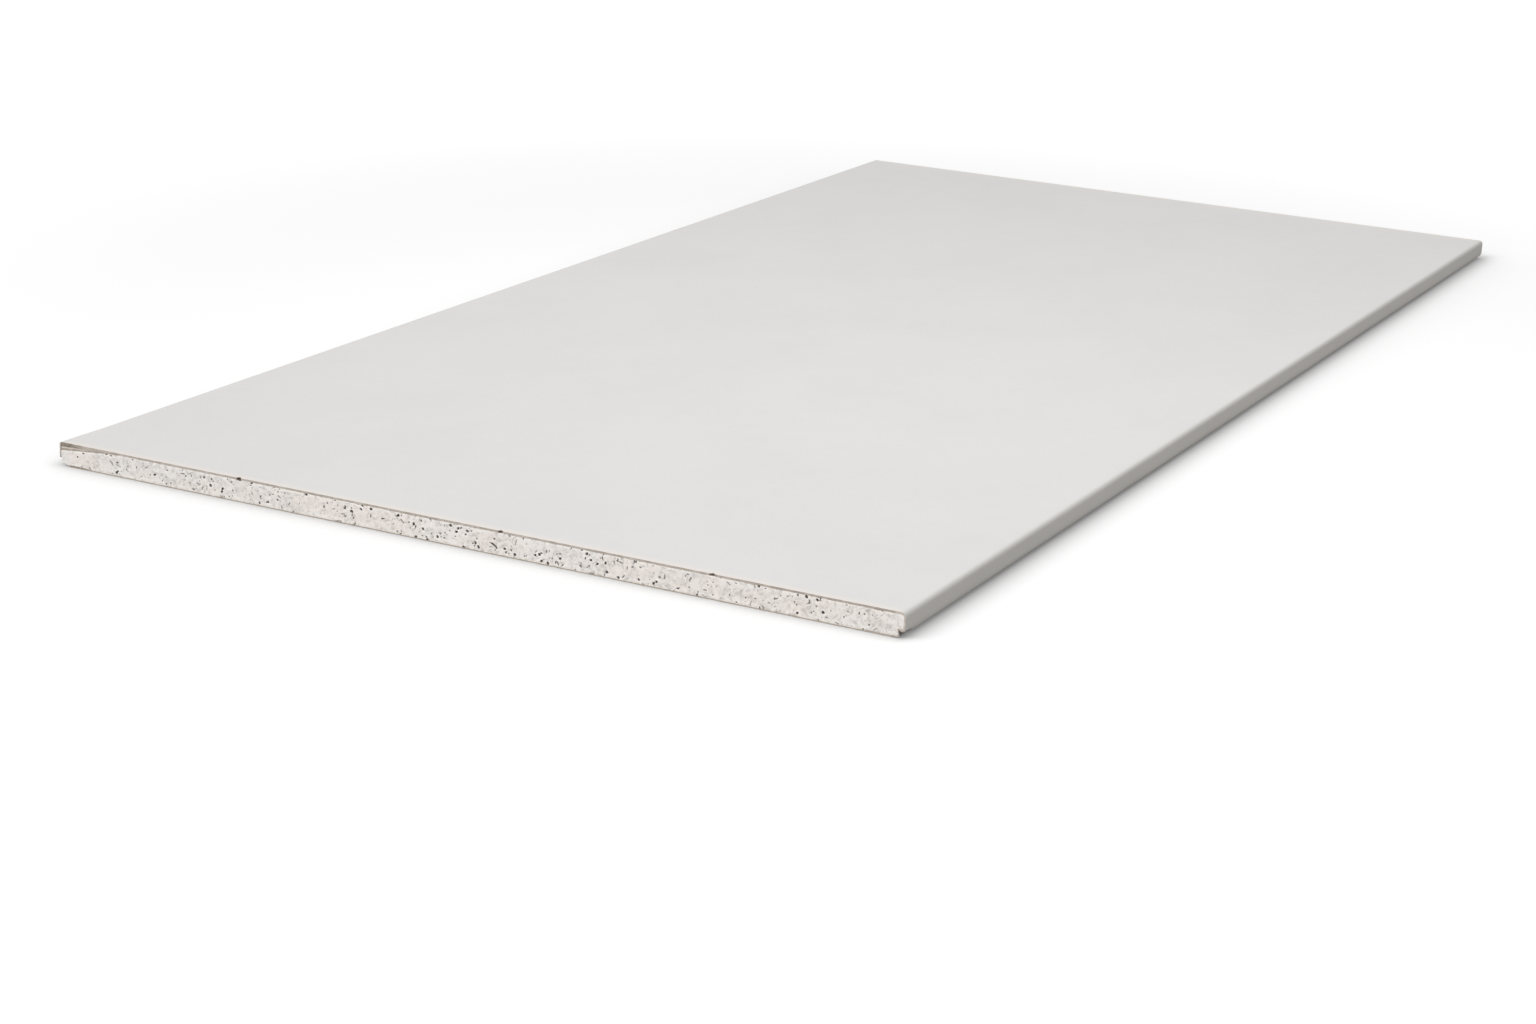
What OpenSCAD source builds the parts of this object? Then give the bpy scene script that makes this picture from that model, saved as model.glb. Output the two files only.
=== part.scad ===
// Drywall sheet: a gypsum core bound in paper, lying face up.
// One face paper covers the face, wraps both long edges and folds under them.
// A narrower back paper closes the back and laps over the two folds.
// The two ends are cut square, so core and papers show there in section.
// X runs across the sheet, Y along it and Z up through it.
// The origin is under the middle of the sheet, on the surface that it lies on.

/* [Sheet] */
// Width across the two wrapped long edges
board_w = 610; // [300:1:1220]
// Length between the two cut ends
board_l = 1220; // [600:1:3000]
// Thickness over both papers
board_t = 15.9; // [12:0.1:26]

/* [Long edges] */
// Outer radius of the shoulder, where the face turns down into the edge
shoulder_r = 3.2; // [2:0.1:5]
// Outer radius of the heel, where the edge turns under to the back
heel_r = 5; // [2:0.1:5.5]

/* [Paper] */
// Thickness of the face paper
face_paper_t = 0.5; // [0.3:0.05:1]
// Thickness of the back paper
back_paper_t = 0.5; // [0.3:0.05:1]
// Reach of the folded-under face paper, from the long edge inwards
fold_w = 25; // [15:0.5:50]
// Strip of each fold that the back paper leaves bare, from the long edge inwards
bare_fold_w = 8; // [6:0.5:12]

/* [Hidden] */
$fn = 96;
// Half the width between the inner edges of the two folds
half_open_w = board_w / 2 - fold_w;
// Height of the core's underside between the folds
core_z = back_paper_t;
// Width of the back paper
back_paper_w = board_w - 2 * bare_fold_w;

// Runs a section drawn in X and Z along the whole length of the sheet
module run_lengthways() {
    rotate([90, 0, 0])
        linear_extrude(height = board_l, center = true)
            children();
}

// Section of what the face paper is wrapped round, at a depth under the paper's outer surface
module wrapped_section(depth) {
    half_w = board_w / 2 - depth;
    top_z = board_t - depth;
    bottom_z = core_z + depth;
    shoulder = shoulder_r - depth;
    heel = heel_r - depth;
    shoulder_z = top_z - shoulder;
    heel_z = bottom_z + heel;

    // Straight part of the edges
    translate([-half_w, heel_z])
        square([2 * half_w, shoulder_z - heel_z]);
    // Face side, between the shoulders
    translate([-half_w + shoulder, shoulder_z])
        square([2 * (half_w - shoulder), shoulder]);
    // Back side, between the heels
    translate([-half_w + heel, bottom_z])
        square([2 * (half_w - heel), heel]);
    for (side = [-1, 1]) {
        translate([side * (half_w - shoulder), shoulder_z])
            circle(shoulder);
        translate([side * (half_w - heel), heel_z])
            circle(heel);
    }
}

// The part of the back between the two folds, where no face paper reaches
module between_folds_section() {
    translate([-half_open_w, core_z])
        square([2 * half_open_w, face_paper_t]);
}

// Cast gypsum, rebated along both sides of its back for the folded paper
module gypsum_core() {
    color([0.84, 0.82, 0.79])
        run_lengthways()
            union() {
                wrapped_section(face_paper_t);
                between_folds_section();
            }
}

// One strip of paper over the face, round both long edges and under the back
module face_paper() {
    color([0.88, 0.88, 0.87])
        run_lengthways()
            difference() {
                wrapped_section(0);
                wrapped_section(face_paper_t);
                between_folds_section();
            }
}

// Flat strip that the sheet lies on, lapped over the folds of the face paper
module back_paper() {
    color([0.72, 0.67, 0.60])
        run_lengthways()
            translate([-back_paper_w / 2, 0])
                square([back_paper_w, back_paper_t]);
}

gypsum_core();
face_paper();
back_paper();
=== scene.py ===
import bpy
import math
import random
import numpy as np
from mathutils import Euler, Matrix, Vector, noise


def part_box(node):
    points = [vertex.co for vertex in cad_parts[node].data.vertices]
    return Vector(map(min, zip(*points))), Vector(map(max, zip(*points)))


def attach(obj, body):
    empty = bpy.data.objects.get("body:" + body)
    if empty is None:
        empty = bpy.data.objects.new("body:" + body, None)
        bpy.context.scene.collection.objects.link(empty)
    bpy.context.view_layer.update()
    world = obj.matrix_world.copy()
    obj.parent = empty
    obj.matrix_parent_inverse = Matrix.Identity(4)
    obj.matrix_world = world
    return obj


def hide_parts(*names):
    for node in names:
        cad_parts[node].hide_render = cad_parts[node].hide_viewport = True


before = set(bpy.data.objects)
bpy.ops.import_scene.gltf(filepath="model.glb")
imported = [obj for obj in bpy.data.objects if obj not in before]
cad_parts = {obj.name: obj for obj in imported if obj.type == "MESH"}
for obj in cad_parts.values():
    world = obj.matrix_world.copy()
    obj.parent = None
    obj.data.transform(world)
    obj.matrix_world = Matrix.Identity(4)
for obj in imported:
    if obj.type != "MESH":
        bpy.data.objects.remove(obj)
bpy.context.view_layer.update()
mm = 0.001

# the sheet's own sizes, from the frame; the last three are not in any box
_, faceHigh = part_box("face_paper")
coreLow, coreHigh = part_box("gypsum_core")
backLow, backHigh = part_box("back_paper")
sheet = {
    "halfW": faceHigh.x,
    "halfL": faceHigh.y,
    "top": faceHigh.z,
    "paper": faceHigh.x - coreHigh.x,
    "backPaper": backHigh.z,
    "shoulder": 3.2 * mm,
    "heel": 5 * mm,
    "fold": 25 * mm,
}
flatHalf = sheet["halfW"] - sheet["shoulder"]
heelZ = sheet["backPaper"] + sheet["heel"]
landStart = flatHalf + sheet["shoulder"] * math.pi / 2  # measured along the paper from the middle of the face
heelStart = landStart + sheet["top"] - sheet["shoulder"] - heelZ
foldStart = heelStart + sheet["heel"] * math.pi / 2

# wear at the near end, shared by the core and its paper
wear = {
    # left corner, where the paper has come away from the core and stands out square
    "wedge": {"across": 50 * mm, "along": 25 * mm, "drop": 4.9 * mm},
    "lift": {"along": 45 * mm, "full": 8 * mm},
    "flap": 11 * mm,  # paper still standing down the left edge there
    "tear": 7 * mm,  # how far it is torn back below the flap
    "tearAlong": 22 * mm,
    # right heel, pushed in under the straight part of the edge: mm inwards and mm down round its arc
    "bruise": {
        "along": 14 * mm,
        "full": 3 * mm,
        "clear": 5 * mm,  # the core gives way that much sooner than its paper
        "inward": (0, 0.6, 1.9, 3.4, 4.5, 3.4, 5.0),
        "down": (0, 0.9, 1.3, 0.9, 0.25, 4.2, 5.0),
    },
    # places and sizes of the dark chips along the top of the cut
    "nicks": {-161 * mm: 1.8, 34 * mm: 1.0, 180 * mm: 1.0},
    "nickHalf": 1.5 * mm,
}


# camera where the photograph's was
cameraView = {"lens": 72.62, "place": (0.9867, -2.1242, 0.5894), "turn": 27.01, "down": 17.30, "roll": 2.20}


def addCamera(view):
    bpy.ops.object.camera_add(location=view["place"])
    camera = bpy.context.object
    aim = Euler((math.radians(90 - view["down"]), 0, math.radians(view["turn"]))).to_matrix()
    camera.rotation_euler = (aim @ Matrix.Rotation(math.radians(view["roll"]), 3, "Z")).to_euler()
    camera.data.lens = view["lens"]
    camera.data.clip_start = 0.01
    bpy.context.scene.camera = camera


addCamera(cameraView)
print("camera set")


# node helpers
def newMaterial(name):
    material = bpy.data.materials.new(name)
    material.use_nodes = True
    material.node_tree.nodes.clear()
    return material, material.node_tree


def addNode(tree, kind, settings=None, inputs=None):
    node = tree.nodes.new(kind)
    for key, value in (settings or {}).items():
        setattr(node, key, value)
    for key, value in (inputs or {}).items():
        if isinstance(value, bpy.types.NodeSocket):
            tree.links.new(value, node.inputs[key])
        else:
            node.inputs[key].default_value = value
    return node


def addNoise(tree, scale, detail, rough=0.5):
    place = addNode(tree, "ShaderNodeTexCoord").outputs["Object"]
    spread = addNode(tree, "ShaderNodeMapping", None, {"Vector": place, "Scale": scale}).outputs[0]
    inputs = {"Vector": spread, "Scale": 1.0, "Detail": detail, "Roughness": rough}
    return addNode(tree, "ShaderNodeTexNoise", None, inputs).outputs["Fac"]


def addMath(tree, operation, first, second):
    return addNode(tree, "ShaderNodeMath", {"operation": operation}, {0: first, 1: second}).outputs[0]


def addRange(tree, value, low, high, toLow=0.0, toHigh=1.0, way="SMOOTHSTEP"):
    settings = {"clamp": True, "interpolation_type": way}
    inputs = {"Value": value, "From Min": low, "From Max": high, "To Min": toLow, "To Max": toHigh}
    return addNode(tree, "ShaderNodeMapRange", settings, inputs).outputs[0]


def mixColour(tree, share, first, second, blend="MIX"):
    node = addNode(tree, "ShaderNodeMix", {"data_type": "RGBA", "blend_type": blend})
    for socket, value in ((node.inputs[0], share), (node.inputs[6], first), (node.inputs[7], second)):
        if isinstance(value, bpy.types.NodeSocket):
            tree.links.new(value, socket)
        else:
            socket.default_value = value if isinstance(value, float) else (*value, 1.0)
    return node.outputs[2]


def addAttribute(tree, name):
    return addNode(tree, "ShaderNodeAttribute", {"attribute_name": name}).outputs["Fac"]


def finishMaterial(tree, colour, rough, height, bump, specular):
    shader = addNode(tree, "ShaderNodeBsdfPrincipled", None, {"Base Color": colour, "Roughness": rough})
    shader.inputs["Specular IOR Level"].default_value = specular
    lift = addNode(tree, "ShaderNodeBump", None, {"Strength": bump[0], "Distance": bump[1], "Height": height})
    tree.links.new(lift.outputs[0], shader.inputs["Normal"])
    out = addNode(tree, "ShaderNodeOutputMaterial")
    tree.links.new(shader.outputs[0], out.inputs["Surface"])


# studio: white floor, even sky, a broad soft sun from the front left, one lamp overhead and one low in front
studio = {
    "floorSize": 40.0, "floorGap": 0.1 * mm, "floorWhite": 0.90, "floorBounce": 0.36,
    "floorLift": (0.14, 0.42), "liftReach": (0.5, 1.5),  # a glow that grows away from the sheet
    "contactReach": 60 * mm, "contactShade": 0.35,
    "sky": 0.56, "sunStrength": 1.11, "sunAngle": 35.0, "sunPlace": (-2.5, -4.0, 3.9),
    "lamps": (
        {"power": 3.5, "size": 0.8, "place": (0.2, -0.28, 1.2), "aim": (0.2, -0.28, 0)},
        {"power": 12.0, "size": 0.9, "place": (0.1, -2.6, 0.35), "aim": (0, -0.6, 0)},
    ),
}


def lookAt(obj, target):
    way = np.array(target) - np.array(obj.location)
    flat = math.hypot(way[0], way[1])
    obj.rotation_euler = (math.atan2(flat, -way[2]), 0, math.atan2(way[1], way[0]) - math.pi / 2)


def seenStraight(tree):
    path = addNode(tree, "ShaderNodeLightPath").outputs
    seen = addMath(tree, "MAXIMUM", path["Is Camera Ray"], path["Is Glossy Ray"])
    return addMath(tree, "MAXIMUM", seen, path["Is Transmission Ray"])


def addFloor(look):
    bpy.ops.mesh.primitive_plane_add(size=look["floorSize"], location=(0, 0, -look["floorGap"]))
    floor = bpy.context.object
    floor.name = "studioFloor"
    material, tree = newMaterial("floorWhite")
    # painted contact shadow: ambient occlusion darkens the floor's colour where something stands on it
    near = addNode(tree, "ShaderNodeAmbientOcclusion", {"samples": 8}, {"Distance": look["contactReach"]})
    white = look["floorWhite"]
    shade = white * look["contactShade"]
    tint = mixColour(tree, near.outputs["AO"], (shade, shade, shade), (white, white, white))
    paint = addNode(tree, "ShaderNodeBsdfDiffuse", None, {"Color": tint})
    place = addNode(tree, "ShaderNodeTexCoord").outputs["Object"]
    away = addNode(tree, "ShaderNodeVectorMath", {"operation": "LENGTH"}, {0: place}).outputs["Value"]
    strength = addRange(tree, away, *look["liftReach"], *look["floorLift"])
    lift = addNode(tree, "ShaderNodeEmission", None, {"Strength": strength})
    shown = addNode(tree, "ShaderNodeAddShader", None, {0: paint.outputs[0], 1: lift.outputs[0]})
    bounce = look["floorBounce"]
    dull = addNode(tree, "ShaderNodeBsdfDiffuse", None, {"Color": (bounce, bounce, bounce, 1)})
    sides = {0: seenStraight(tree), 1: dull.outputs[0], 2: shown.outputs[0]}
    both = addNode(tree, "ShaderNodeMixShader", None, sides)
    out = addNode(tree, "ShaderNodeOutputMaterial")
    tree.links.new(both.outputs[0], out.inputs["Surface"])
    floor.data.materials.append(material)


def addLights(look):
    bpy.ops.object.light_add(type="SUN", location=look["sunPlace"])
    sun = bpy.context.object
    sun.data.energy = look["sunStrength"]
    sun.data.angle = math.radians(look["sunAngle"])
    lookAt(sun, (0, 0, 0))
    for lamp in look["lamps"]:
        bpy.ops.object.light_add(type="AREA", location=lamp["place"])
        glow = bpy.context.object
        glow.data.shape = "DISK"
        glow.data.size = lamp["size"]
        glow.data.energy = lamp["power"]
        lookAt(glow, lamp["aim"])
    world = bpy.data.worlds.new("studioSky")
    world.use_nodes = True
    sky = world.node_tree
    sky.nodes.clear()
    strength = addRange(sky, seenStraight(sky), 0.0, 1.0, look["sky"], 1.0)
    light = addNode(sky, "ShaderNodeBackground", None, {"Color": (1, 1, 1, 1), "Strength": strength})
    end = addNode(sky, "ShaderNodeOutputWorld")
    sky.links.new(light.outputs[0], end.inputs["Surface"])
    bpy.context.scene.world = world
    bpy.context.scene.view_settings.view_transform = "Standard"


addFloor(studio)
addLights(studio)
print("floor and light set")


# mesh helpers
def addGrid(name, columns, rows, size, place, turn=(0, 0, 0)):
    bpy.ops.object.select_all(action="DESELECT")
    counts = {"x_subdivisions": columns, "y_subdivisions": rows}
    bpy.ops.mesh.primitive_grid_add(size=1, location=place, rotation=turn, **counts)
    obj = bpy.context.object
    obj.name = name
    obj.data.name = name
    obj.scale = (size[0], size[1], 1)
    bpy.ops.object.transform_apply(location=True, rotation=True, scale=True)
    bpy.ops.object.mode_set(mode="EDIT")
    bpy.ops.mesh.select_mode(type="VERT")
    bpy.ops.mesh.select_all(action="SELECT")
    return obj


def pickVerts(obj, test):
    bpy.ops.mesh.select_all(action="DESELECT")
    bpy.ops.object.mode_set(mode="OBJECT")
    for vert in obj.data.vertices:
        vert.select = test(vert.co)
    bpy.ops.object.mode_set(mode="EDIT")


def cutThrough(values, way):
    for value in values:
        bpy.ops.mesh.select_all(action="SELECT")
        bpy.ops.mesh.bisect(plane_co=[value * part for part in way], plane_no=way)


def drawOut(way):
    bpy.ops.mesh.extrude_region_move(TRANSFORM_OT_translate={"value": way})


def closeNormals():
    bpy.ops.mesh.select_all(action="SELECT")
    bpy.ops.mesh.normals_make_consistent(inside=False)
    bpy.ops.object.mode_set(mode="OBJECT")


def readPoints(obj):
    places = np.zeros(len(obj.data.vertices) * 3)
    obj.data.vertices.foreach_get("co", places)
    return places.reshape(-1, 3)


def writePoints(obj, places):
    obj.data.vertices.foreach_set("co", places.ravel())
    obj.data.update()


def writeMark(obj, name, values):
    mark = obj.data.attributes.new(name, "FLOAT", "POINT")
    mark.data.foreach_set("value", np.asarray(values, dtype=np.float32))


def readCorners(obj):
    # vertex and face number of every face corner, and where each face's corners start
    verts = np.zeros(len(obj.data.loops), dtype=np.int32)
    starts = np.zeros(len(obj.data.polygons), dtype=np.int32)
    counts = np.zeros(len(obj.data.polygons), dtype=np.int32)
    obj.data.loops.foreach_get("vertex_index", verts)
    obj.data.polygons.foreach_get("loop_start", starts)
    obj.data.polygons.foreach_get("loop_total", counts)
    return verts, np.repeat(np.arange(len(starts)), counts), starts


def writeMap(obj, across, up):
    layer = obj.data.uv_layers.new(name="OFBake")
    layer.data.foreach_set("uv", np.stack([across, up], 1).astype(np.float32).ravel())


def roughness(points, size, octaves):
    return np.array([noise.fractal(p, 1.0, 2.0, octaves) for p in (points / size).tolist()])


def smoothStep(values, low, high):
    t = np.clip((values - low) / (high - low), 0, 1)
    return t * t * (3 - 2 * t)


def finishPiece(obj, node, material, smoothAngle=35):
    bpy.ops.object.select_all(action="DESELECT")
    obj.select_set(True)
    bpy.context.view_layer.objects.active = obj
    bpy.ops.object.shade_smooth_by_angle(angle=math.radians(smoothAngle))
    obj.data.materials.clear()
    obj.data.materials.append(material)
    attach(obj, "root")
    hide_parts(node)
    print(obj.name, "done,", len(obj.data.polygons), "faces")


# gypsum core: cut ends with pores, slits and crumbs, set back a little behind the paper's edge
core = {
    "cell": 0.5 * mm, "setBack": 0.35 * mm, "edgeGive": 16 * mm, "seed": 11,
    "rows": (4 * mm, 9 * mm, 16 * mm, 26 * mm),
    "ragged": 0.24 * mm, "rimSize": 1.4 * mm, "crowd": 30 * mm,
    # half lengths and half widths in mm
    # "wall" is the sloping share of a pore, and 0 for a soft smudge without a rim
    "pores": (
        {
            "count": 75, "long": (0.9, 1.5), "wide": (0.75, 1.15), "bend": 0.0,
            "wall": 0.5, "deep": (0.9, 1.7), "dark": (0.95, 1.0), "halo": 0.9,
        },
        {
            "count": 225, "long": (0.7, 1.25), "wide": (0.5, 0.85), "bend": 0.0,
            "wall": 0.6, "deep": (0.4, 0.9), "dark": (0.6, 0.95), "halo": 0.5,
        },
        {
            "count": 380, "long": (0.55, 1.1), "wide": (0.45, 0.7), "bend": 0.0,
            "wall": 0.8, "deep": (0.12, 0.35), "dark": (0.25, 0.55), "halo": 0.3,
        },
        {
            "count": 70, "long": (1.3, 3.2), "wide": (0.4, 0.6), "bend": 0.1,
            "wall": 0.9, "deep": (0.4, 0.9), "dark": (0.55, 1.0), "halo": 0.5,
        },
        {
            "count": 640, "long": (0.9, 3.2), "wide": (0.6, 1.6), "bend": 0.1,
            "wall": 0.0, "deep": (0.05, 0.25), "dark": (0.08, 0.30), "halo": 0.0,
        },
        {
            "count": 300, "long": (1.6, 4.2), "wide": (0.3, 0.5), "bend": 0.1,
            "wall": 0.0, "deep": (0.05, 0.2), "dark": (0.14, 0.42), "halo": 0.2,
        },
    ),
    "crumbs": {"count": 520, "long": (0.4, 1.2), "wide": (0.4, 1.0), "high": (0.05, 0.2), "bend": 0.0},
    "denseLeft": (14 * mm, 48 * mm), "denseRight": (5 * mm, 18 * mm),  # few pores near the long edges
    "bigSlit": {"x": 29 * mm, "z": 6.1 * mm, "long": 4.2 * mm, "wide": 0.8 * mm, "turn": -0.5, "bend": -0.06},
    "chip": {"long": 1.7 * mm, "wide": 1.2 * mm, "turn": 0.2, "bend": 0.0},
    "crease": {"x": 300.3 * mm, "z": 8.6 * mm, "long": 3.4 * mm, "wide": 0.5 * mm, "turn": 1.6, "bend": 0.03},
}


def drawSpot(draw, x, z, kind):
    return {
        "x": draw.uniform(x[0], x[-1]), "z": draw.uniform(z[0], z[-1]),
        "long": draw.uniform(*kind["long"]) * mm, "wide": draw.uniform(*kind["wide"]) * mm,
        "turn": draw.uniform(0, math.pi), "bend": draw.uniform(-kind["bend"], kind["bend"]),
    }


def endGrid(x, z, look):
    # points over a cut end, with a small push aside for each that makes the rims of the pores ragged
    points = np.stack(np.meshgrid(x, [0.0], z, indexing="ij"), -1).reshape(-1, 3)
    shape = (len(x), len(z))
    aside = [look["ragged"] * roughness(points + shift, look["rimSize"], 2) for shift in (0.0, 0.5)]
    flat = {"x": points[:, 0], "z": points[:, 2], "asideX": aside[0], "asideZ": aside[1]}
    return {name: values.reshape(shape) for name, values in flat.items()}


def spotWindow(grid, spot, spread=1.0):
    # part of the grid round one spot, where its points lie in the oval and how far out, 1 on the rim
    cell = core["cell"]
    long, wide = spot["long"] * spread, spot["wide"] * spread
    reach = int(max(long, wide) / cell) + 2
    column = int(round((spot["x"] - coreLow.x) / cell))
    row = int(round((spot["z"] - coreLow.z) / cell))
    part = (slice(max(column - reach, 0), column + reach + 1), slice(max(row - reach, 0), row + reach + 1))
    dx = grid["x"][part] + grid["asideX"][part] - spot["x"]
    dz = grid["z"][part] + grid["asideZ"][part] - spot["z"]
    along = dx * math.cos(spot["turn"]) + dz * math.sin(spot["turn"])
    across = dz * math.cos(spot["turn"]) - dx * math.sin(spot["turn"]) - spot["bend"] * along ** 2 / mm
    return part, along, across, np.hypot(along / long, across / wide)


def pullPoints(grid, spot):
    # moves the points nearest a pore's rim onto it, and those nearest a slit's middle line onto that
    part, along, across, out = spotWindow(grid, spot)
    cell = core["cell"]
    if spot["long"] > 2.2 * spot["wide"]:
        moveAlong = np.zeros_like(along)
        onLine = (np.abs(across) < 0.5 * cell) & (np.abs(along) < spot["long"])
        moveAcross = np.where(onLine, -0.85 * across, 0)
    else:
        band = 0.6 * cell / min(spot["long"], spot["wide"])
        pull = np.where(np.abs(out - 1) < band, 1 / np.maximum(out, 0.3) - 1, 0)
        moveAlong, moveAcross = along * pull, across * pull
    grid["x"][part] += moveAlong * math.cos(spot["turn"]) - moveAcross * math.sin(spot["turn"])
    grid["z"][part] += moveAlong * math.sin(spot["turn"]) + moveAcross * math.cos(spot["turn"])


def keepOrder(grid, x, z):
    # no point passes its neighbour, and the outline of the end stays as it is
    most = 0.44 * core["cell"]
    shape = grid["x"].shape
    bases = {"x": np.broadcast_to(x[:, None], shape), "z": np.broadcast_to(z, shape)}
    for name, base in bases.items():
        moved = np.clip(grid[name], base - most, base + most)
        grid[name] = base.copy()
        grid[name][1:-1, 1:-1] = moved[1:-1, 1:-1]


def lay(field, part, values):
    field[part] = np.maximum(field[part], values)


def endSpots(draw, x, z, look, seed, near):
    # every pore, slit and smudge of one cut end
    spots = []
    for kind in look["pores"]:
        for _ in range(kind["count"]):
            spot = drawSpot(draw, x, z, kind)
            deep, black, luck = draw.uniform(*kind["deep"]) * mm, draw.uniform(*kind["dark"]), draw.random()
            left = 0.12 + 0.88 * smoothStep(spot["x"] - x[0], *look["denseLeft"])
            right = 0.25 + 0.75 * smoothStep(x[-1] - spot["x"], *look["denseRight"])
            crowded = 0.92 + 0.4 * noise.noise((spot["x"] / look["crowd"], seed, spot["z"] / look["crowd"]))
            if luck > min(left, right, crowded):
                continue
            if kind["wall"] and not kind["bend"]:
                # a round pore is centred on a point of the grid
                spot["x"] = x[np.abs(x - spot["x"]).argmin()]
                spot["z"] = z[np.abs(z - spot["z"]).argmin()]
            spots.append({**spot, "deep": deep, "black": black, "wall": kind["wall"], "halo": kind["halo"]})
    if near:
        spots.append({**look["bigSlit"], "deep": 1.4 * mm, "black": 0.95, "wall": 0.7, "halo": 0.5})
        spots.append({**look["crease"], "deep": 0.2 * mm, "black": 0.26, "wall": 0.0, "halo": 0.0})
        for place, size in wear["nicks"].items():
            chip = {**look["chip"], "wide": look["chip"]["wide"] * size, "x": place, "z": z[-1]}
            spots.append({**chip, "deep": 1.5 * mm, "black": 0.9, "wall": 0.5, "halo": 0.0})
    return spots


def endRelief(x, z, look, seed, near):
    # the moved grid of one cut end, the depth of its pores, the height of its crumbs and its colour marks,
    # among them the painted shade in its pores
    draw = random.Random(seed)
    grid = endGrid(x, z, look)
    spots = endSpots(draw, x, z, look, seed, near)
    for spot in spots:
        if spot["wall"]:
            pullPoints(grid, spot)
    keepOrder(grid, x, z)
    field = {name: np.zeros(grid["x"].shape) for name in ("depth", "crumb", "pit", "poreShade", "smudge", "halo")}
    for spot in spots:
        part, _, _, out = spotWindow(grid, spot)
        soft = np.clip(1 - out ** 2, 0, 1)
        shape = smoothStep(out, 1, 1 - spot["wall"]) if spot["wall"] else soft
        lay(field["depth"], part, spot["deep"] * shape)
        if spot["wall"]:
            lay(field["pit"], part, shape)
            # painted shade inside the pore, as dark as its black, out a little past its rim
            lay(field["poreShade"], part, spot["black"] * (out < 1.4))
        else:
            lay(field["smudge"], part, spot["black"] * soft)
        part, _, _, out = spotWindow(grid, spot, 2.0)
        lay(field["halo"], part, spot["halo"] * spot["black"] * np.clip(1 - out ** 2, 0, 1))
    grains = look["crumbs"]
    for _ in range(grains["count"]):
        part, _, _, out = spotWindow(grid, drawSpot(draw, x, z, grains))
        lay(field["crumb"], part, draw.uniform(*grains["high"]) * mm * np.sqrt(np.clip(1 - out ** 2, 0, 1)))
    return grid, field


def coreMaterial():
    material, tree = newMaterial("porousGypsum")
    blush = addNoise(tree, (26, 26, 26), 4.0, 0.62)
    cloud = addNoise(tree, (230, 230, 230), 3.0, 0.6)
    grain = addNoise(tree, (1150, 1150, 1150), 3.0, 0.6)
    pale = mixColour(tree, addRange(tree, blush, 0.38, 0.62), (0.817, 0.748, 0.698), (0.800, 0.768, 0.735))
    greyer = mixColour(tree, 1.0, pale, (0.86, 0.86, 0.86), "MULTIPLY")
    pale = mixColour(tree, addRange(tree, cloud, 0.34, 0.60), greyer, pale)
    pale = mixColour(tree, addRange(tree, grain, 0.35, 0.7, 0.0, 0.5), pale, (0.92, 0.885, 0.845))
    ring = addMath(tree, "MULTIPLY", addAttribute(tree, "halo"), 0.85)
    pale = mixColour(tree, ring, pale, (0.95, 0.92, 0.885))
    # pores, slits and chips are painted dark with shade up to a crisp ragged rim, smudges are a soft darker
    # tone
    jagged = addRange(tree, grain, 0.3, 0.7, -0.15, 0.15, "LINEAR")
    rim = addMath(tree, "ADD", addAttribute(tree, "pit"), jagged)
    pit = addMath(tree, "MULTIPLY", addRange(tree, rim, 0.12, 0.5), addAttribute(tree, "poreShade"))
    uneven = addRange(tree, grain, 0.25, 0.75, 0.6, 1.4, "LINEAR")
    smudge = addMath(tree, "MULTIPLY", addAttribute(tree, "smudge"), uneven)
    pit = addMath(tree, "MAXIMUM", pit, smudge)
    # the dark of the painted shade in the pores, also used for the soft smudges
    poreShade = mixColour(tree, addRange(tree, blush, 0.4, 0.6), (0.075, 0.069, 0.064), (0.115, 0.094, 0.077))
    colour = mixColour(tree, pit, pale, poreShade)
    colour = mixColour(tree, addAttribute(tree, "stain"), colour, (0.46, 0.38, 0.30))
    finishMaterial(tree, colour, 0.95, grain, (0.35, 0.3 * mm), 0.15)
    return material


def cornerDrop(x, y):
    # how far the core has broken away under the lifted paper at the near left corner
    wedge = wear["wedge"]
    across = np.clip(1 - (x + sheet["halfW"]) / wedge["across"], 0, 1)
    along = np.clip(1 - (y + sheet["halfL"]) / wedge["along"], 0, 1)
    return wedge["drop"] * across * along ** 2


def pushedIn(toCut, down):
    # how far inside the edge the paper of the right heel lies, at a distance below the straight part
    bruise, heel = wear["bruise"], sheet["heel"]
    turn = np.linspace(0, math.pi / 2, len(bruise["inward"]))
    share = smoothStep(toCut, bruise["along"], bruise["full"])[:, None]
    inward = heel * (1 - np.cos(turn)) * (1 - share) + np.array(bruise["inward"]) * mm * share
    lower = heel * np.sin(turn) * (1 - share) + np.array(bruise["down"]) * mm * share
    # the core doesn't follow its paper into the overhang above the fifth point
    lower[:, :4] = np.minimum(lower[:, :4], lower[:, 4:5])
    result = np.zeros(len(down))
    for step in range(len(turn) - 1):
        height = np.maximum(lower[:, step + 1] - lower[:, step], 0.001 * mm)
        place = (down - lower[:, step]) / height
        between = inward[:, step] + (inward[:, step + 1] - inward[:, step]) * np.clip(place, 0, 1)
        result = np.where(place > 0, between, result)
    return result


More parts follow.
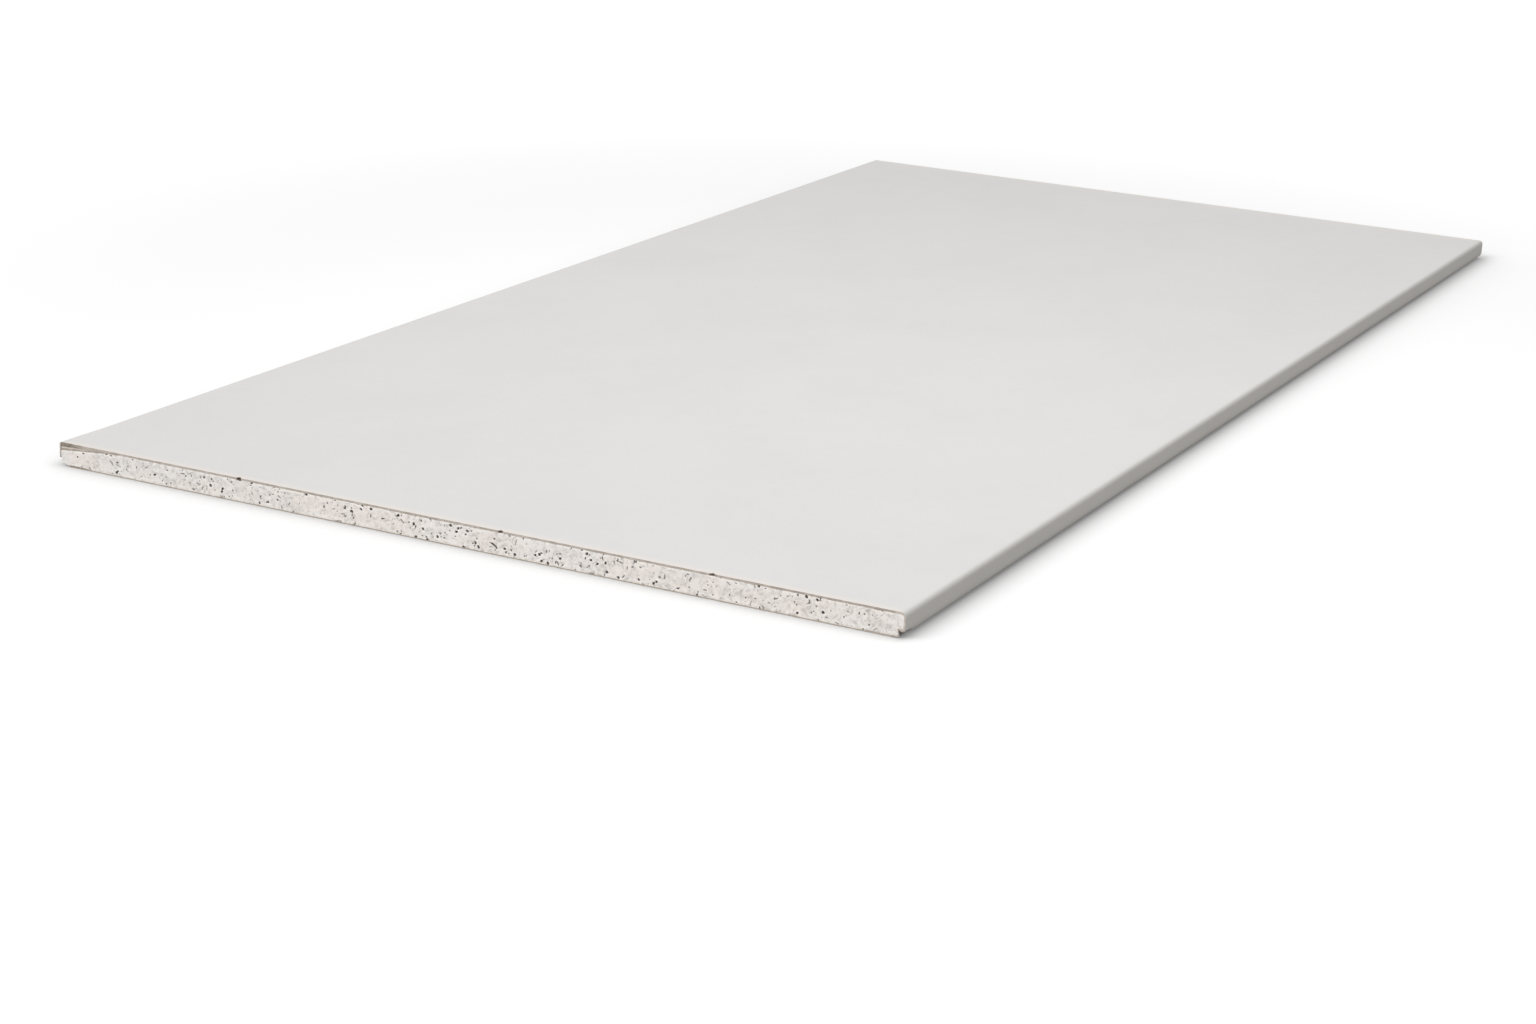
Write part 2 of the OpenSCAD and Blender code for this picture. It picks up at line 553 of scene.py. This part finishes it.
def coreHalf(places):
    # half width of the core: rounded shoulder and heel, worn left corner, pushed-in right heel
    z = places[:, 2]
    toCut = places[:, 1] + sheet["halfL"]
    shoulder = sheet["shoulder"] - sheet["paper"]
    heel = sheet["heel"] - sheet["paper"]
    up = np.clip(z - (coreHigh.z - shoulder), 0, shoulder)
    down = np.clip(heelZ - z, 0, heel)
    half = coreHigh.x - shoulder + np.sqrt(shoulder ** 2 - up ** 2) - heel + np.sqrt(heel ** 2 - down ** 2)
    rubbed = (0.7 + 1.5 * np.clip(1 - z / (11 * mm), 0, 1)) * mm
    worn = rubbed * smoothStep(toCut, wear["tear"] + 2 * mm, 2 * mm)
    rise = sheet["paper"] * (coreHigh.z - z) / (coreHigh.z - coreLow.z)
    pushed = sheet["paper"] + pushedIn(toCut - wear["bruise"]["clear"], heelZ - z - rise)
    limit = sheet["halfW"] - np.where(places[:, 0] < 0, worn, pushed)
    return np.minimum(half, limit)


# places on the core's map: strips of the cut ends, then the hidden sides above them
coreLayout = {
    "strips": 4, "left": 0.005, "wide": 0.99,
    "low": 0.004, "step": 0.104, "tall": 0.096, "hidden": 0.85,
}


def mapCore(obj, column, row, near, far, layout):
    # each cut end in four long strips, one under the other, and the hidden sides in the rest
    verts, face, starts = readCorners(obj)
    across, upright = column.max(), row.max()
    strip = int(math.ceil(across / layout["strips"]))
    nearFace = np.minimum.reduceat(near[verts].astype(int), starts)[face] > 0
    farFace = np.minimum.reduceat(far[verts].astype(int), starts)[face] > 0
    part = np.minimum.reduceat(column[verts], starts)[face] // strip
    band = part + layout["strips"] * farFace
    u = layout["left"] + layout["wide"] * (column[verts] - part * strip) / strip
    v = layout["low"] + layout["step"] * band + layout["tall"] * row[verts] / upright
    side = ~(nearFace | farFace)
    spread = (readPoints(obj)[verts, 1] - coreLow.y) / (coreHigh.y - coreLow.y)
    lower = np.maximum.reduceat(row[verts], starts)[face] < upright
    slanted = column[verts] / across + row[verts] / upright / 40
    u = np.where(side, layout["left"] + layout["wide"] * slanted / 1.03, u)
    v = np.where(side, layout["hidden"] + 0.06 * spread + 0.07 * lower, v)
    writeMap(obj, u, v)


def makeCore(look):
    width = 2 * coreHigh.x
    height = coreHigh.z - coreLow.z
    across = int(round(width / look["cell"]))
    upright = int(round(height / look["cell"]))
    middle = (0, coreLow.y, (coreLow.z + coreHigh.z) / 2)
    obj = addGrid("gypsumCore", across, upright, (width, height), middle, (math.pi / 2, 0, 0))
    drawOut((0, 2 * coreHigh.y, 0))
    cutThrough([side * (coreHigh.y - row) for row in look["rows"] for side in (-1, 1)], (0, 1, 0))
    closeNormals()

    places = readPoints(obj)
    x = np.linspace(-coreHigh.x, coreHigh.x, across + 1)
    z = np.linspace(coreLow.z, coreHigh.z, upright + 1)
    column = np.rint((places[:, 0] - x[0]) / (x[1] - x[0])).astype(int)
    row = np.rint((places[:, 2] - z[0]) / (z[1] - z[0])).astype(int)
    near = places[:, 1] < coreLow.y + 0.1 * mm
    far = places[:, 1] > coreHigh.y - 0.1 * mm
    mapCore(obj, column, row, near, far, coreLayout)
    marks = {name: np.zeros(len(places)) for name in ("pit", "poreShade", "smudge", "halo", "stain")}
    for at, end, seed in ((near, -1, look["seed"]), (far, 1, look["seed"] + 1)):
        grid, field = endRelief(x, z, look, seed, end < 0)
        here = (column[at], row[at])
        spots = places[at]
        toPaper = np.minimum(coreHigh.z - spots[:, 2], spots[:, 2] - coreLow.z)
        toPaper = np.minimum(toPaper, coreHigh.x - spots[:, 0])
        coarse = roughness(spots, 9 * mm, 3)
        small = roughness(spots, 1.6 * mm, 2)
        crumble = smoothStep(toPaper, 1.5 * mm, 0.3 * mm) * (0.2 + 0.25 * small) * mm
        back = look["setBack"] + 0.16 * mm * coarse + 0.09 * mm * small + crumble
        back += field["depth"][here] - field["crumb"][here]
        places[at, 0] = grid["x"][here]
        places[at, 1] -= end * np.maximum(back, 0.1 * mm)
        places[at, 2] = grid["z"][here]
        for name in ("pit", "poreShade", "smudge"):
            marks[name][at] = field[name][here]
        # a paler skin under the papers, stained right beside them
        clean = 0.6 * smoothStep(toPaper + 0.5 * mm * small, 3 * mm, 1.2 * mm)
        marks["halo"][at] = np.maximum(field["halo"][here], clean)
        marks["stain"][at] = 0.25 * smoothStep(toPaper + 0.4 * mm * small, 0.7 * mm, 0.3 * mm)
    # outline, the rebates that the folded paper lies in, and the broken corner
    side, reach = np.sign(places[:, 0]), np.abs(places[:, 0])
    give = np.clip(1 - (coreHigh.x - reach) / look["edgeGive"], 0, 1)
    places[:, 0] = side * (reach - (coreHigh.x - coreHalf(places)) * give)
    overFold = np.abs(places[:, 0]) > sheet["halfW"] - sheet["fold"]
    share = (places[:, 2] - coreLow.z) / height
    places[:, 2] += np.where(overFold, sheet["paper"] * (1 - share), 0)
    places[:, 2] -= cornerDrop(places[:, 0], places[:, 1]) * share
    writePoints(obj, places)
    for name, values in marks.items():
        writeMark(obj, name, values)
    finishPiece(obj, "gypsum_core", coreMaterial(), 60)


makeCore(core)


# paper helpers
mapLayout = {
    "outer": (0.005, 0.565),
    "nearCut": (0.575, 0.587),
    "farCut": (0.597, 0.609),
    "inner": (0.62, 0.96),
}


def raggedEnds(places, halfL):
    # the cut is bitten back by up to half a millimetre, and the rows just behind it give way with it
    end = np.sign(places[:, 1])
    toCut = halfL - np.abs(places[:, 1])
    nibble = roughness(places * (1, 0, 1) + end[:, None], 2.2 * mm, 3)
    places[:, 1] -= end * np.clip(0.15 + 0.25 * nibble, 0, 0.5) * mm * np.clip(1 - toCut / (3 * mm), 0, 1)
    return toCut < 0.1 * mm, nibble


def thicken(obj, thickness):
    wall = obj.modifiers.new("thickness", "SOLIDIFY")
    wall.thickness = thickness
    wall.offset = -1
    bpy.context.view_layer.objects.active = obj
    bpy.ops.object.modifier_apply(modifier=wall.name)


def mapPaper(obj, way, along, cut, faces):
    # outer side large, each cut end a long narrow strip, the hidden side smaller
    verts, face, starts = readCorners(obj)
    base = verts % len(way)
    hidden = (verts >= len(way)).astype(float)
    cutFace = np.minimum.reduceat(cut[base].astype(int), starts)[face] > 0
    across = (way[base] - way.min()) / np.ptp(way)
    up = 0.01 + 0.86 * (along[base] - along.min()) / np.ptp(along)
    tall = 0.01 + 0.98 * (along[base] - along.min()) / np.ptp(along)

    def between(name, share):
        low, high = mapLayout[name]
        return low + (high - low) * share

    rim = face >= 2 * faces
    u = np.where(face < faces, between("outer", across), between("inner", across))
    v = np.where(face < faces, tall, up)
    u = np.where(rim, 0.97 + 0.01 * (way[base] > 0) + 0.006 * hidden, u)
    v = np.where(rim, tall, v)
    strip = np.where(along[base] < 0, between("nearCut", hidden), between("farCut", hidden))
    u = np.where(rim & cutFace, strip, u)
    v = np.where(rim & cutFace, 0.01 + 0.98 * across, v)
    writeMap(obj, u, v)


# face paper: one strip over the face, round both long edges and folded under
facePaper = {
    "across": 300, "along": 70, "arcSteps": 6, "landSteps": 4, "foldSteps": 3,
    "rows": [row * mm for row in (0.3, 1.2, 3, 4.5, 6, 8, 10, 12, 15, 22, 32, 45)],
    "nickCuts": (-1.4 * mm, -0.6 * mm, 0.6 * mm, 1.4 * mm), "nickDeep": 1.5 * mm,
    # torn inner edge of the cut, in mm
    "topLip": (0.45, 0.75), "cornerLip": 2.3, "flapLip": (1.3, 0.3), "sideLip": 0.25, "nickLip": 0.75,
    "heelLip": (0.6, 0.8, 0.8, 0.8, 0.2, 0.5, 0.3),
    "waver": 0.22 * mm,
}


def paperMaterial():
    material, tree = newMaterial("facePaperIvory")
    cloud = addNoise(tree, (11, 9, 11), 3.0)
    blotch = addNoise(tree, (60, 40, 60), 3.0, 0.6)
    fibre = addNoise(tree, (900, 300, 900), 3.0, 0.65)
    tint = mixColour(tree, addRange(tree, cloud, 0.3, 0.7), (0.724, 0.711, 0.698), (0.740, 0.727, 0.714))
    tint = mixColour(tree, addRange(tree, blotch, 0.3, 0.7, 0.0, 0.2), tint, (0.766, 0.754, 0.743))
    tint = mixColour(tree, addRange(tree, fibre, 0.25, 0.6, 0.10, 0.0), tint, (0.56, 0.54, 0.51))
    # painted warm shade: the paper round both long edges is tinted a little darker and warmer
    warmShade = mixColour(tree, 1.0, tint, (0.985, 0.965, 0.93), "MULTIPLY")
    tint = mixColour(tree, addAttribute(tree, "wrapped"), tint, warmShade)
    # painted highlight: the face is paler and pinker along the cut ends
    tint = mixColour(tree, addAttribute(tree, "glow"), tint, (0.79, 0.747, 0.712))
    # painted shade: the pushed-in right heel near the cut is darkened where shade falls in its crease
    tint = mixColour(tree, addAttribute(tree, "creaseShade"), tint, (0.26, 0.245, 0.225))
    # bare cut edge: pale on the sides, tan on top, dark brown where it is torn, nearly black in the nicks; at
    # the lifted left corner the dark brown is partly painted shade of the gap under the paper
    mottle = addRange(tree, addNoise(tree, (240, 240, 900), 3.0), 0.3, 0.7, -0.12, 0.12)
    tone = addMath(tree, "ADD", addAttribute(tree, "rawTone"), mottle)
    raw = (0.72, 0.655, 0.61)
    tan, brown, black = (0.465, 0.408, 0.354), (0.15, 0.115, 0.085), (0.055, 0.042, 0.032)
    for low, high, darker in ((0.0, 0.5, tan), (0.5, 1.0, brown), (1.1, 1.4, black)):
        raw = mixColour(tree, addRange(tree, tone, low, high, 0.0, 1.0, "LINEAR"), raw, darker)
    colour = mixColour(tree, addAttribute(tree, "rawEdge"), tint, raw)
    finishMaterial(tree, colour, 0.82, fibre, (0.12, 0.15 * mm), 0.2)
    return material


def wrapEdge(obj, side, look):
    # shoulder, straight edge, heel and fold, drawn out of one long edge of the face
    halfW, shoulder, heel = sheet["halfW"], sheet["shoulder"], sheet["heel"]
    land = (heelStart - landStart) / look["landSteps"]
    reach = (sheet["fold"] - heel) / look["foldSteps"]
    turn = {"steps": look["arcSteps"], "angle": -side * math.pi / 2, "axis": (0, 1, 0)}
    pickVerts(obj, lambda co: side * co.x > flatHalf - 0.01 * mm)
    bpy.ops.mesh.spin(center=(side * flatHalf, 0, sheet["top"] - shoulder), **turn)
    for _ in range(look["landSteps"]):
        drawOut((0, 0, -land))
    bpy.ops.mesh.spin(center=(side * (halfW - heel), 0, heelZ), **turn)
    for _ in range(look["foldSteps"]):
        drawOut((-side * reach, 0, 0))


def unfold(places):
    # distance along the outer side of the paper from the middle of the face, minus on the left
    halfW, top, shoulder, heel = sheet["halfW"], sheet["top"], sheet["shoulder"], sheet["heel"]
    x, z = np.abs(places[:, 0]), places[:, 2]
    onShoulder = flatHalf + shoulder * np.arctan2(x - flatHalf, z - (top - shoulder))
    onLand = landStart + top - shoulder - z
    onHeel = heelStart + heel * np.arctan2(heelZ - z, x - (halfW - heel))
    onFold = foldStart + halfW - heel - x
    small = 0.01 * mm
    tests = [z > top - small, z > top - shoulder + small, z > heelZ - small, x > halfW - heel + small]
    return np.sign(places[:, 0]) * np.select(tests, [x, onShoulder, onLand, onHeel], onFold)


def wearPaper(places, way, look):
    # bends the clean wrap into the worn one
    halfW, top, shoulder = sheet["halfW"], sheet["top"], sheet["shoulder"]
    side, reach = np.sign(way), np.abs(way)
    toCut = places[:, 1] + sheet["halfL"]
    # long edges never run quite straight
    wander = roughness(places * np.array((0, 1, 0.6)) + side[:, None], 45 * mm, 3)
    waver = look["waver"] * (0.5 + 0.6 * wander)
    places[:, 0] -= side * np.clip(waver, 0, 0.5 * mm) * smoothStep(reach, flatHalf + 2 * mm, landStart + mm)
    # lifted corner: the paper runs out square instead of turning down
    lift = wear["lift"]
    square = 2 + 2.4 * smoothStep(toCut, lift["along"], lift["full"])
    turn = np.clip((reach - flatHalf) / shoulder, 0, math.pi / 2)
    onShoulder = (reach > flatHalf) & (reach < landStart - 0.01 * mm)
    lifted = (side < 0) & onShoulder & (toCut < lift["along"])
    out = -flatHalf - shoulder * np.sin(turn) ** (2 / square)
    up = top - shoulder + shoulder * np.clip(np.cos(turn), 0, 1) ** (2 / square)
    places[lifted, 0] = out[lifted]
    places[lifted, 2] = up[lifted]
    # torn back below the flap
    flapEnd = landStart + wear["flap"] - shoulder
    torn = smoothStep(reach, flapEnd - 0.5 * mm, flapEnd + 1.2 * mm)
    torn *= smoothStep(reach, foldStart + 18 * mm, foldStart)
    tearDeep = wear["tear"] * (1 + 0.25 * roughness(places, 3 * mm, 2))
    torn *= tearDeep * np.clip(1 - toCut / wear["tearAlong"], 0, 1)
    places[:, 1] += np.where((side < 0) & (toCut < wear["tearAlong"]), torn, 0)
    # heel pushed in at the near right corner
    arc = (reach - heelStart) / (foldStart - heelStart)
    bruise = wear["bruise"]
    bent = (side > 0) & (arc > -0.01) & (arc < 1.01) & (toCut < bruise["along"])
    share = smoothStep(toCut, bruise["along"], bruise["full"])
    shares = np.linspace(0, 1, len(bruise["inward"]))
    inward = halfW - np.interp(arc, shares, bruise["inward"]) * mm
    down = heelZ - np.interp(arc, shares, bruise["down"]) * mm
    places[bent, 0] += ((inward - places[:, 0]) * share)[bent]
    places[bent, 2] += ((down - places[:, 2]) * share)[bent]
    # nicks in the top edge
    for place in wear["nicks"]:
        bite = look["nickDeep"] * np.clip(1 - ((way - place) / wear["nickHalf"]) ** 2, 0, 1)
        places[:, 1] += bite * np.clip(1 - toCut / (6 * mm), 0, 1)


def cutLook(places, way, nibble, look):
    # length of the torn inner edge in mm, and tone of the bare cut
    side, reach = np.sign(way), np.abs(way)
    near = places[:, 1] < 0
    toCorner = np.clip(1 - (way + sheet["halfW"]) / wear["wedge"]["across"], 0, 1) * near
    onTop = reach < flatHalf + 2 * mm
    lip = look["topLip"][0] + look["topLip"][1] * np.clip(0.4 + 0.6 * nibble, 0, 1)
    lip += (look["cornerLip"] - lip) * toCorner
    # towards the lifted left corner the tone runs to dark brown: the torn paper's own colour and painted
    # shade of the gap beneath it
    tone = 0.5 + 0.12 * roughness(places, 16 * mm, 2) + 0.34 * smoothStep(toCorner, 0.6, 0.86)
    tone += 0.08 * smoothStep(places[:, 0], 150 * mm, 290 * mm) * near
    tone -= 0.3 * smoothStep(way, flatHalf - 6 * mm, flatHalf + mm) * near
    flapEnd = landStart + wear["flap"] - sheet["shoulder"]
    flap = near & (side < 0) & (reach < flapEnd)
    fold = reach > foldStart
    down = np.clip((reach - flatHalf) / (flapEnd - flatHalf), 0, 1)
    flapLip = np.interp(down, (0, 0.5, 1), (*look["flapLip"], 0.1))
    flapTone = np.interp(down, (0, 0.5, 0.75, 1), (0.4, 0.4, 0.72, 0.5))
    arc = (reach - heelStart) / (foldStart - heelStart)
    bent = near & (side > 0) & (arc < 1)
    bentLip = np.interp(arc, np.linspace(0, 1, len(look["heelLip"])), look["heelLip"])
    bentTone = np.interp(arc, (-0.3, 0.1), (0.3, 0.48))
    sideLip = look["sideLip"] + 0.2 * np.clip(nibble, 0, 1)
    lip = np.select([onTop, flap, bent, fold], [lip, flapLip, bentLip, 0.1], sideLip)
    tone = np.select([onTop, flap, bent, fold], [tone, flapTone, bentTone, 0.5], 0.1)
    for place, size in wear["nicks"].items():
        nick = near & (np.abs(way - place) < wear["nickHalf"])
        tone = np.where(nick, 0.8 + 0.3 * size, tone)
        lip = np.where(nick, look["nickLip"] * size, lip)
    return lip, tone


def makePlies(look):
    # two torn plies between the lifted paper and the broken core, a pale one over a brown one
    wedge = wear["wedge"]
    size = (wedge["across"] - 2 * mm, wedge["along"] - 4 * mm)
    middle = (-sheet["halfW"] + 0.9 * mm + size[0] / 2, -sheet["halfL"] + 0.25 * mm + size[1] / 2, 3 * mm)
    obj = addGrid("tornPlies", 44, 10, size, middle)
    for _ in range(3):
        drawOut((0, 0, -mm))
    closeNormals()
    places = readPoints(obj)
    layer = np.rint(3 - places[:, 2] / mm).astype(int)
    low = coreHigh.z - cornerDrop(places[:, 0], places[:, 1])
    toCorner = np.clip(1 - (places[:, 0] + sheet["halfW"]) / wedge["across"], 0, 1)
    lip = 0.75 + (look["cornerLip"] - 0.75) * toCorner
    room = np.maximum(coreHigh.z - lip * mm - low, 0.12 * mm)
    ragged = roughness(places, 2.5 * mm, 2)
    heights = (room + 0.3 * mm, room * (0.56 + 0.1 * ragged), room * (0.46 + 0.1 * ragged), -0.1 * mm)
    places[:, 2] = low + np.choose(layer, heights)
    front = places[:, 1] < -sheet["halfL"] + 0.3 * mm
    places[:, 1] += np.where(front, (0.1 * ragged + np.choose(layer, (0.25, 0.2, -0.1, -0.1))) * mm, 0)
    writePoints(obj, places)
    writeMark(obj, "rawEdge", np.ones(len(places)))
    writeMark(obj, "rawTone", np.choose(layer, (0.15, 0.15, 0.62, 0.62)))
    for name in ("wrapped", "glow", "creaseShade"):
        writeMark(obj, name, np.zeros(len(places)))
    bpy.ops.object.mode_set(mode="EDIT")
    bpy.ops.mesh.select_all(action="SELECT")
    bpy.ops.uv.smart_project(angle_limit=math.radians(60), island_margin=0.01)
    bpy.ops.object.mode_set(mode="OBJECT")
    layer = obj.data.uv_layers[0]
    layer.name = "OFBake"
    spots = np.zeros(len(obj.data.loops) * 2, dtype=np.float32)
    layer.data.foreach_get("uv", spots)
    spots = spots.reshape(-1, 2) * (0.34, 0.10) + (0.62, 0.89)
    layer.data.foreach_set("uv", spots.astype(np.float32).ravel())
    return obj


def makeFacePaper(look):
    halfL, top = sheet["halfL"], sheet["top"]
    obj = addGrid("facePaper", look["across"], look["along"], (2 * flatHalf, 2 * halfL), (0, 0, top))
    cutThrough([side * (halfL - row) for row in look["rows"] for side in (-1, 1)], (0, 1, 0))
    cutThrough([place + step for place in wear["nicks"] for step in look["nickCuts"]], (1, 0, 0))
    for side in (-1, 1):
        wrapEdge(obj, side, look)
    bpy.ops.mesh.select_all(action="SELECT")
    bpy.ops.mesh.remove_doubles(threshold=0.01 * mm)
    closeNormals()
    if max(obj.data.polygons, key=lambda face: face.center.z).normal.z < 0:
        bpy.ops.object.mode_set(mode="EDIT")
        bpy.ops.mesh.flip_normals()
        bpy.ops.object.mode_set(mode="OBJECT")

    places = readPoints(obj)
    count, faces = len(places), len(obj.data.polygons)
    way = unfold(places)
    along = places[:, 1].copy()
    cut, nibble = raggedEnds(places, halfL)
    lip, tone = cutLook(places, way, nibble, look)
    wearPaper(places, way, look)
    writePoints(obj, places)
    thicken(obj, sheet["paper"])

    # the inner edge of the cut is torn down over the gypsum
    places = readPoints(obj)
    inner = np.arange(count, 2 * count)[cut]
    outward = places[:count][cut] - places[inner]
    outward /= np.linalg.norm(outward, axis=1)[:, None]
    places[inner] -= outward * lip[cut, None] * mm
    places[:, 1] = np.clip(places[:, 1], -halfL, halfL)
    writePoints(obj, places)
    toEnd = halfL - np.abs(along)
    onFace = np.abs(way) < flatHalf
    towardsCut = smoothStep(along + halfL, 12 * mm, 2 * mm)
    marks = {
        "rawEdge": cut, "rawTone": tone,
        # where the painted warm shade goes: the paper round the long edges
        "wrapped": smoothStep(np.abs(way), flatHalf - mm, landStart),
        # where the painted highlight goes: the face near each cut end
        "glow": np.where(onFace, smoothStep(toEnd, 9 * mm, mm), 0),
        # painted shade in the crease of the pushed-in heel, fading away from the cut
        "creaseShade": smoothStep(way, heelStart + 2 * mm, heelStart + 3.5 * mm) * towardsCut,
    }
    for name, values in marks.items():
        writeMark(obj, name, np.tile(values, 2))
    mapPaper(obj, way, along, cut, faces)
    plies = makePlies(look)
    bpy.ops.object.select_all(action="DESELECT")
    plies.select_set(True)
    obj.select_set(True)
    bpy.context.view_layer.objects.active = obj
    bpy.ops.object.join()
    finishPiece(obj, "face_paper", paperMaterial())


makeFacePaper(facePaper)


# back paper: a flat narrower strip under the back, its underside outermost
backPaper = {"across": 240, "along": 60, "rows": (0.5 * mm, 2 * mm), "waver": 0.5 * mm}


def backMaterial():
    material, tree = newMaterial("backPaperGrey")
    cloud = addNoise(tree, (16, 12, 16), 3.0)
    fibre = addNoise(tree, (800, 260, 800), 3.0, 0.65)
    tint = mixColour(tree, addRange(tree, cloud, 0.3, 0.7), (0.42, 0.372, 0.315), (0.45, 0.40, 0.34))
    tint = mixColour(tree, addRange(tree, fibre, 0.3, 0.6, 0.35, 0.0), tint, (0.27, 0.235, 0.20))
    finishMaterial(tree, tint, 0.85, fibre, (0.2, 0.15 * mm), 0.2)
    return material


def makeBackPaper(look):
    size = (2 * backHigh.x, 2 * backHigh.y)
    obj = addGrid("backPaper", look["across"], look["along"], size, (0, 0, backLow.z))
    cutThrough([side * (backHigh.y - row) for row in look["rows"] for side in (-1, 1)], (0, 1, 0))
    bpy.ops.mesh.select_all(action="SELECT")
    bpy.ops.mesh.flip_normals()
    bpy.ops.object.mode_set(mode="OBJECT")
    places = readPoints(obj)
    faces = len(obj.data.polygons)
    way, along = places[:, 0].copy(), places[:, 1].copy()
    cut, _ = raggedEnds(places, backHigh.y)
    edge = np.abs(way) > backHigh.x - 0.1 * mm
    waver = look["waver"] * np.clip(0.5 + roughness(places * (1, 1, 0), 30 * mm, 3), 0, 1)
    places[edge, 0] -= (np.sign(way) * waver)[edge]
    writePoints(obj, places)
    thicken(obj, backHigh.z)
    mapPaper(obj, way, along, cut, faces)
    finishPiece(obj, "back_paper", backMaterial())


makeBackPaper(backPaper)
